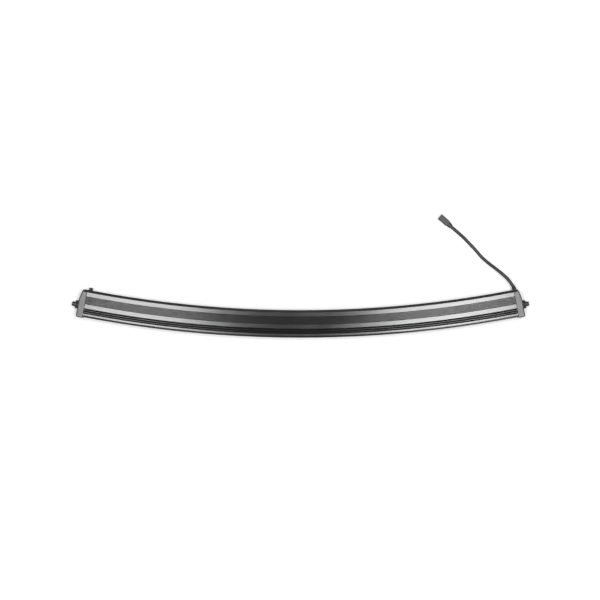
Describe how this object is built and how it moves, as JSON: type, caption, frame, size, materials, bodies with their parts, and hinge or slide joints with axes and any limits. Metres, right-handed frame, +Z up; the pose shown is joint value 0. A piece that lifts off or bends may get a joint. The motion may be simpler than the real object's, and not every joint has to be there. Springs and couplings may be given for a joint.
{
  "type": "led light bar",
  "caption": "Curved single-row LED light bar: bent finned aluminium housing, clear front lens, end caps with side mounting bolts, rear breather and short power lead with plug.",
  "frame": {"origin": "on the flat underside at mid-length, on the land between the cooling grooves and the shallow serrations, 31 mm behind the bezel's front face", "axes": "+X along the bar, +Y to the rear (the lens faces -Y and the ends sweep towards +Y), +Z up"},
  "size_m": [1.3008, 0.3513, 0.05],
  "materials": {
    "anodised_housing": "satin black powder coat on extruded aluminium",
    "end_cap_coat": "fine-textured black powder coat on die-cast aluminium",
    "bezel": "satin black powder coat on an aluminium strip",
    "black_screws": "black oxide steel",
    "lens": "clear hard-coated polycarbonate",
    "gasket_rubber": "black silicone rubber",
    "reflector": "vacuum-metallised plastic",
    "led_board": "white solder mask on an aluminium-core board",
    "emitter": "phosphor-coated emitter under a clear dome",
    "plated_screws": "zinc-plated steel",
    "thermal_pad": "grey-blue silicone pad",
    "driver_board": "green solder mask",
    "coil": "enamelled copper winding",
    "capacitor": "bare aluminium can",
    "component_plastic": "moulded epoxy",
    "lead_insulation": "silicone wire insulation",
    "washer_rubber": "black neoprene",
    "black_hardware": "black-coated stainless steel",
    "cable_jacket": "black flexible jacket",
    "black_nylon": "black glass-filled nylon",
    "membrane": "white expanded PTFE",
    "plug_lock": "orange nylon",
    "contact": "tin-plated brass"
  },
  "bodies": {
    "housing": {"bezel_screws": "black_screws", "board_links": "plated_screws", "bottom_bezel": "bezel", "breather_body": "black_nylon", "breather_knob": "black_nylon", "breather_membrane": "membrane", "breather_seal": "gasket_rubber", "cable_boot": "cable_jacket", "cap_screws": "black_screws", "driver_capacitors": "capacitor", "driver_coils": "coil", "driver_screws": "plated_screws", "driver_standoffs": "plated_screws", "driver_terminals": "component_plastic", "driver_transistors": "component_plastic", "gland_nut": "black_nylon", "housing": "anodised_housing", "led_board_1": "led_board", "led_board_2": "led_board", "led_board_3": "led_board", "led_board_4": "led_board", "led_board_5": "led_board", "led_board_6": "led_board", "led_emitters": "emitter", "led_leads": "lead_insulation", "left_cap_gasket": "gasket_rubber", "left_driver_board": "driver_board", "left_end_cap": "end_cap_coat", "left_rubber_washer": "washer_rubber", "lens": "lens", "lens_gasket": "gasket_rubber", "link_leads": "lead_insulation", "plug_backshell": "black_nylon", "plug_body": "black_nylon", "plug_lock": "plug_lock", "plug_pins": "contact", "plug_seal": "gasket_rubber", "power_cable": "cable_jacket", "reflector_1": "reflector", "reflector_2": "reflector", "reflector_3": "reflector", "reflector_4": "reflector", "reflector_5": "reflector", "reflector_6": "reflector", "reflector_screws": "plated_screws", "right_cap_gasket": "gasket_rubber", "right_driver_board": "driver_board", "right_end_cap": "end_cap_coat", "right_rubber_washer": "washer_rubber", "supply_leads": "lead_insulation", "thermal_pads": "thermal_pad", "top_bezel": "bezel"},
    "left_washers": {"left_flat_washer": "black_hardware", "left_lock_washer": "black_hardware"},
    "left_bolt": {"left_mount_bolt": "black_hardware"},
    "right_washers": {"right_flat_washer": "black_hardware", "right_lock_washer": "black_hardware"},
    "right_bolt": {"right_mount_bolt": "black_hardware"}
  },
  "joints": [
    {"name": "left_bolt_travel", "type": "slide", "parent": "housing", "child": "left_washers", "axis": [-0.9821, 0.1882, 0], "range_m": [0, 0.01]},
    {"name": "left_bolt_turn", "type": "hinge", "parent": "left_washers", "child": "left_bolt", "pos_m": [-0.64092, 0.06442, 0.025], "axis": [-0.9821, 0.1882, 0], "range_deg": [0, 2880]},
    {"name": "right_bolt_travel", "type": "slide", "parent": "housing", "child": "right_washers", "axis": [0.9821, 0.1882, 0], "range_m": [0, 0.01]},
    {"name": "right_bolt_turn", "type": "hinge", "parent": "right_washers", "child": "right_bolt", "pos_m": [0.64092, 0.06442, 0.025], "axis": [0.9821, 0.1882, 0], "range_deg": [0, 2880]}
  ],
  "couplings": [
    {"joint": "left_bolt_turn", "follows": "left_bolt_travel", "rad_per_m": 5026.5},
    {"joint": "right_bolt_turn", "follows": "right_bolt_travel", "rad_per_m": 5026.5}
  ]
}
